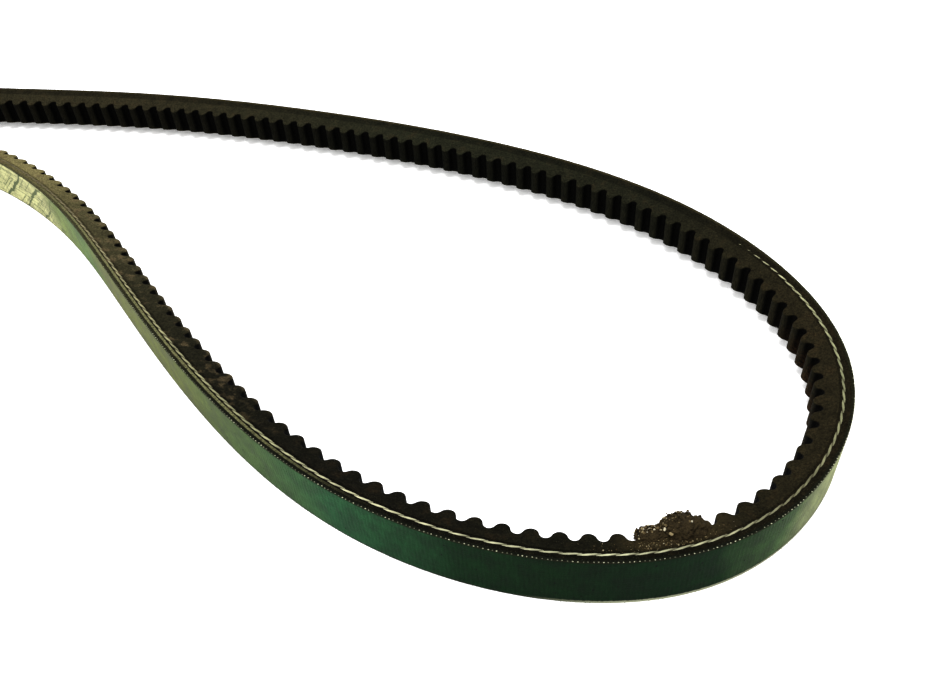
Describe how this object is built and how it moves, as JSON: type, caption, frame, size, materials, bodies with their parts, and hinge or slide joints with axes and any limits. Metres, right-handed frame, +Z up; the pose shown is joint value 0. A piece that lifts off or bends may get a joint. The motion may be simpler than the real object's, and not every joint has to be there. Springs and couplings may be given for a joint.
{
  "type": "v belt",
  "caption": "Endless raw-edge cogged V-belt with a green fabric back, shown lying on its side in a relaxed two-lobed loop that flexes.",
  "frame": {"origin": "centre of the loop's bounding rectangle, on the surface the belt lies on", "axes": "+Z up, across the belt's width; the loop lies in the XY plane with its length along X, the larger lobe towards +X and -Y"},
  "size_m": [0.4572, 0.2416, 0.013],
  "materials": {
    "back_fabric": "rubberised woven fabric, matt with a slight sheen, worn pale in places",
    "tension_rubber": "ground fibrous matt",
    "tensile_cord": "twisted polyester cord, satin",
    "cushion_rubber": "ground matt",
    "compression_rubber": "fibre-filled matt, dusty"
  },
  "bodies": {
    "span_1": {"span_1_back_fabric": "back_fabric", "span_1_tension_rubber": "tension_rubber", "span_1_cord_1": "tensile_cord", "span_1_cord_2": "tensile_cord", "span_1_cord_3": "tensile_cord", "span_1_cord_4": "tensile_cord", "span_1_cord_5": "tensile_cord", "span_1_cord_6": "tensile_cord", "span_1_cord_7": "tensile_cord", "span_1_cushion_rubber": "cushion_rubber", "span_1_compression_rubber": "compression_rubber"},
    "span_2": {"span_2_back_fabric": "back_fabric", "span_2_tension_rubber": "tension_rubber", "span_2_cord_1": "tensile_cord", "span_2_cord_2": "tensile_cord", "span_2_cord_3": "tensile_cord", "span_2_cord_4": "tensile_cord", "span_2_cord_5": "tensile_cord", "span_2_cord_6": "tensile_cord", "span_2_cord_7": "tensile_cord", "span_2_cushion_rubber": "cushion_rubber", "span_2_compression_rubber": "compression_rubber"},
    "span_3": {"span_3_back_fabric": "back_fabric", "span_3_tension_rubber": "tension_rubber", "span_3_cord_1": "tensile_cord", "span_3_cord_2": "tensile_cord", "span_3_cord_3": "tensile_cord", "span_3_cord_4": "tensile_cord", "span_3_cord_5": "tensile_cord", "span_3_cord_6": "tensile_cord", "span_3_cord_7": "tensile_cord", "span_3_cushion_rubber": "cushion_rubber", "span_3_compression_rubber": "compression_rubber"},
    "span_4": {"span_4_back_fabric": "back_fabric", "span_4_tension_rubber": "tension_rubber", "span_4_cord_1": "tensile_cord", "span_4_cord_2": "tensile_cord", "span_4_cord_3": "tensile_cord", "span_4_cord_4": "tensile_cord", "span_4_cord_5": "tensile_cord", "span_4_cord_6": "tensile_cord", "span_4_cord_7": "tensile_cord", "span_4_cushion_rubber": "cushion_rubber", "span_4_compression_rubber": "compression_rubber"},
    "span_5": {"span_5_back_fabric": "back_fabric", "span_5_tension_rubber": "tension_rubber", "span_5_cord_1": "tensile_cord", "span_5_cord_2": "tensile_cord", "span_5_cord_3": "tensile_cord", "span_5_cord_4": "tensile_cord", "span_5_cord_5": "tensile_cord", "span_5_cord_6": "tensile_cord", "span_5_cord_7": "tensile_cord", "span_5_cushion_rubber": "cushion_rubber", "span_5_compression_rubber": "compression_rubber"}
  },
  "joints": [
    {"name": "flex_1", "type": "hinge", "parent": "span_1", "child": "span_2", "pos_m": [0.00099, 0.08066, 0.0065], "axis": [0, 0, 1], "range_deg": [-15, 15]},
    {"name": "flex_2", "type": "hinge", "parent": "span_2", "child": "span_3", "pos_m": [0.15242, 0.03317, 0.0065], "axis": [0, 0, 1], "range_deg": [-15, 15]},
    {"name": "flex_3", "type": "hinge", "parent": "span_3", "child": "span_4", "pos_m": [0.21392, -0.098, 0.0065], "axis": [0, 0, 1], "range_deg": [-15, 15]},
    {"name": "flex_4", "type": "hinge", "parent": "span_4", "child": "span_5", "pos_m": [0.06249, -0.05051, 0.0065], "axis": [0, 0, 1], "range_deg": [-15, 15]}
  ],
  "couplings": [
    {"joint": "flex_2", "follows": "flex_1", "ratio": -1},
    {"joint": "flex_3", "follows": "flex_1", "ratio": 1},
    {"joint": "flex_4", "follows": "flex_1", "ratio": -1}
  ]
}
